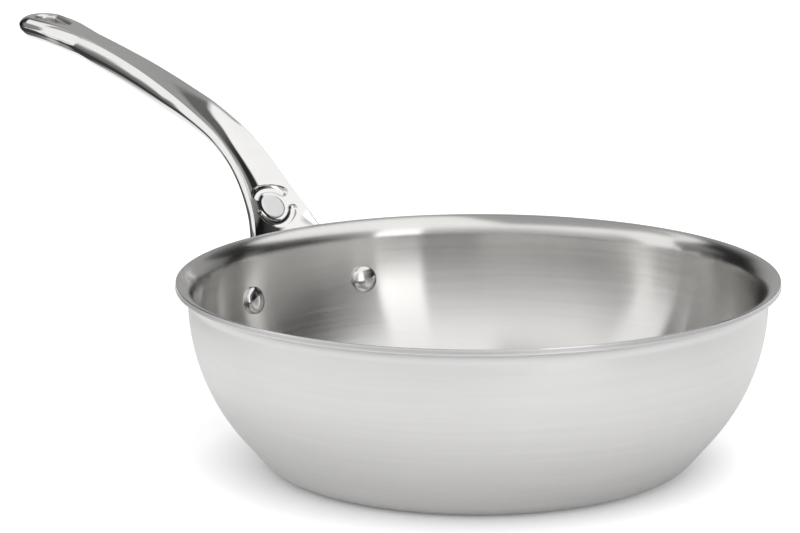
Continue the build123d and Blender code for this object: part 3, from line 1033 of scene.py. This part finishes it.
WALL_EDGES = (  # the elevation where the upper walls begin, in radians
    (-180, 0.38),
    (20, 0.38),
    (40, 0.41),
    (72, 0.44),
    (78, 0.55),
    (84, 0.66),
    (90, 0.40),
)
CEILING_LEVELS = (
    (-180, 1.15),
    (-60, 1.20),
    (83, 1.20),
    (86, 0.45),
    (104, 0.42),
    (111, 1.10),
)
CEILING_EDGES = (  # the elevation where the panels overhead begin, in radians
    (-180, 0.14),
    (-175, 0.00),
    (-166, 0.00),
    (-160, 0.62),
    (-72, 0.64),
    (-48, 0.68),
    (-20, 0.68),
    (50, 0.70),
    (73, 0.78),
    (80, 0.88),
    (86, 0.95),
    (100, 0.70),
    (140, 0.72),
    (163, 0.70),
    (172, 0.54),
    (175, 0.42),
)
OVERHEAD_LEVELS = (
    (-180, 0.45),
    (-115, 0.45),
    (-100, 1.18),
    (83, 1.18),
    (86, 0.45),
)
OVERHEAD_EDGES = (
    (-180, 1.01),
    (84, 1.01),
    (92, 0.85),
    (146, 0.85),
    (151, 0.97),
)
EDGE_FADE = radians(2)
LEVEL_LIMIT = 2.5  # the level that a full ramp colour stands for


def light_studio():
    """Paints the studio's soft panels and dark cards round the object, by direction."""
    world = bpy.data.worlds.new("studio")
    world.use_nodes = True
    bpy.context.scene.world = world
    studio = NodeTree(world.node_tree)
    turned = studio.node("ShaderNodeMapping", vector_type="VECTOR")
    turned.inputs["Rotation"].default_value = (0, 0, PHOTO_TURN)
    studio.link(studio.node("ShaderNodeTexCoord").outputs["Generated"], turned.inputs["Vector"])
    parts = studio.node("ShaderNodeSeparateXYZ")
    studio.link(turned.outputs[0], parts.inputs[0])
    azimuth = studio.math("ARCTAN2", parts.outputs["Y"], parts.outputs["X"])
    elevation = studio.math("ARCSINE", parts.outputs["Z"])
    level = studio.levels(azimuth, WALL_LEVELS)
    for edges, upper_levels in (
        (WALL_EDGES, UPPER_WALL_LEVELS),
        (CEILING_EDGES, CEILING_LEVELS),
        (OVERHEAD_EDGES, OVERHEAD_LEVELS),
    ):
        over_edge = studio.math("SUBTRACT", elevation, studio.levels(azimuth, edges))
        upper_share = studio.ramp(over_edge, -EDGE_FADE, EDGE_FADE)
        level = studio.blend(upper_share, level, studio.levels(azimuth, upper_levels))
    rays = studio.node("ShaderNodeLightPath")
    background = world.node_tree.nodes["Background"]
    background.inputs["Color"].default_value = (1, 1, 1, 1)
    studio.link(studio.blend(rays.outputs["Is Camera Ray"], level, 1.0), background.inputs["Strength"])


# Floor, in metres
FLOOR_HALF = 6.0
FLOOR_DROP = 0.0001  # keeps it clear of the pan's base
FLOOR_TINT = (0.92, 0.92, 0.92)
FLOOR_ROUGHNESS = 0.9
FLOOR_LIFT = 0.50  # the glow that makes it white for the camera
MIRRORED_LIFT = 0.36  # the same in reflections
PAINTED_SHADOW_FADE = (0.068, 0.112)  # how far from the pan's axis the first glow fades in, which paints a shadow round the pan's base
PAINTED_SHADOW_SHIFT = 0.006  # across the handle, from the axis to the middle of that painted shadow
# the painted shadow round the pan's base, as the floor shows in reflections
MIRRORED_PAINTED_SHADOW_FADE = (0.07, 0.16)
DARK_REFLECTION_TINT = (0.07, 0.07, 0.07)  # of the painted dark reflection: a dark patch on the floor beyond the handle, which shows in reflections alone
DARK_REFLECTION_START = (0.43, 0.50)  # where it fades in, along the handle
DARK_REFLECTION_SIDE = (-0.035, -0.015)  # across it
DARK_REFLECTION_SLANT = (0.25, 0.31)  # along less across


def lay_floor():
    """A pale floor that the camera and the metal see as white, and that still takes shadows. A painted
    shadow darkens it round the pan's base, and a painted dark reflection lies on it beyond the handle.
    """
    corners = [(x, y, -FLOOR_DROP) for x, y in ((-1, -1), (1, -1), (1, 1), (-1, 1))]
    corners = [(x * FLOOR_HALF, y * FLOOR_HALF, z) for x, y, z in corners]
    mesh = bpy.data.meshes.new("floor")
    mesh.from_pydata(corners, [], [(0, 1, 2, 3)])
    floor = bpy.data.objects.new("floor", mesh)
    bpy.context.scene.collection.objects.link(floor)
    paint = Finish("floor_paint")
    parts = paint.node("ShaderNodeSeparateXYZ")
    paint.link(paint.place(), parts.inputs[0])
    along, across = parts.outputs["X"], parts.outputs["Y"]
    rays = paint.node("ShaderNodeLightPath")
    seen, mirrored = rays.outputs["Is Camera Ray"], rays.outputs["Is Glossy Ray"]

    # Painted dark reflection: a dark patch on the floor beyond the handle, with no glow, seen by reflected
    # rays alone
    dark_reflection = paint.math("MULTIPLY", paint.ramp(along, *DARK_REFLECTION_START), paint.ramp(across, *DARK_REFLECTION_SIDE))
    dark_reflection = paint.math("MULTIPLY", dark_reflection, paint.ramp(paint.math("SUBTRACT", along, across), *DARK_REFLECTION_SLANT))
    dark_reflection = paint.math("MULTIPLY", dark_reflection, mirrored)

    # Painted shadow: the glow fades out near the pan's base, darkening the floor there for the camera and
    # in reflections
    painted_shadow_side = paint.math("SUBTRACT", across, PAINTED_SHADOW_SHIFT)
    painted_shadow = paint.ramp(paint.distance(along, painted_shadow_side), *PAINTED_SHADOW_FADE)
    mirrored_painted_shadow = paint.ramp(paint.distance(along, across), *MIRRORED_PAINTED_SHADOW_FADE)
    glow = paint.blend(mirrored, FLOOR_LIFT, MIRRORED_LIFT)
    for share in (
        paint.math("ADD", mirrored, seen),
        paint.math("SUBTRACT", 1.0, dark_reflection),
        paint.blend(mirrored, painted_shadow, mirrored_painted_shadow),
    ):
        glow = paint.math("MULTIPLY", glow, share)

    paint.set(
        # the painted dark reflection's colour, seen by reflected rays alone
        Base_Color=paint.blend(dark_reflection, shade(FLOOR_TINT), shade(DARK_REFLECTION_TINT), True),
        Metallic=0.0,
        Roughness=FLOOR_ROUGHNESS,
        Specular_IOR_Level=0.0,
        Emission_Color=(1, 1, 1, 1),
        Emission_Strength=glow,
    )
    mesh.materials.append(paint.material)


# The whole scene
bowl = make_bowl()
spine = Spine()
handle = make_handle(spine)
rivets = [make_rivet("rivet_left", 1), make_rivet("rivet_right", -1)]
badge = make_badge(spine)

interior = brushed_steel(
    "cooking_surface",
    tint=(0.70, 0.69, 0.675),
    roughness=0.19,
    spread=0.03,
    line_depth=0.000008,
    anisotropy=1.0,
)
exterior = brushed_steel(
    "outer_surface",
    tint=(0.72, 0.715, 0.71),
    roughness=0.40,
    spread=0.04,
    line_depth=0.000006,
    anisotropy=0.4,
)
bond = plain_metal(
    "bond_layer",
    tints=((0.60, 0.60, 0.60), (0.66, 0.66, 0.66)),
    roughness=(0.3, 0.4),
    scale=300.0,
    grain_depth=0.000002,
)
core = plain_metal(
    "core_layer",
    tints=((0.52, 0.52, 0.53), (0.60, 0.60, 0.61)),
    roughness=(0.32, 0.45),
    scale=300.0,
    grain_depth=0.000003,
)
rivet_steel = plain_metal(
    "rivet_steel",
    tints=((0.66, 0.655, 0.65), (0.72, 0.715, 0.71)),
    roughness=(0.10, 0.17),
    scale=240.0,
    grain_depth=0.000002,
)
badge_steel = plain_metal(
    "badge_steel",
    tints=((0.80, 0.80, 0.80), (0.86, 0.86, 0.86)),
    roughness=(0.32, 0.42),
    scale=300.0,
    grain_depth=0.000002,
)

finish_piece(bowl["cooking_ply"], interior)
finish_piece(bowl["induction_ply"], exterior)
finish_piece(bowl["core_ply"], core)
finish_piece(bowl["upper_bond_ply"], bond)
finish_piece(bowl["lower_bond_ply"], bond)
finish_piece(handle, polished_casting())
for rivet in rivets:
    finish_piece(rivet, rivet_steel)
finish_piece(badge, badge_steel)

light_studio()
lay_floor()
aim_camera()
bpy.context.scene.view_settings.view_transform = "Standard"
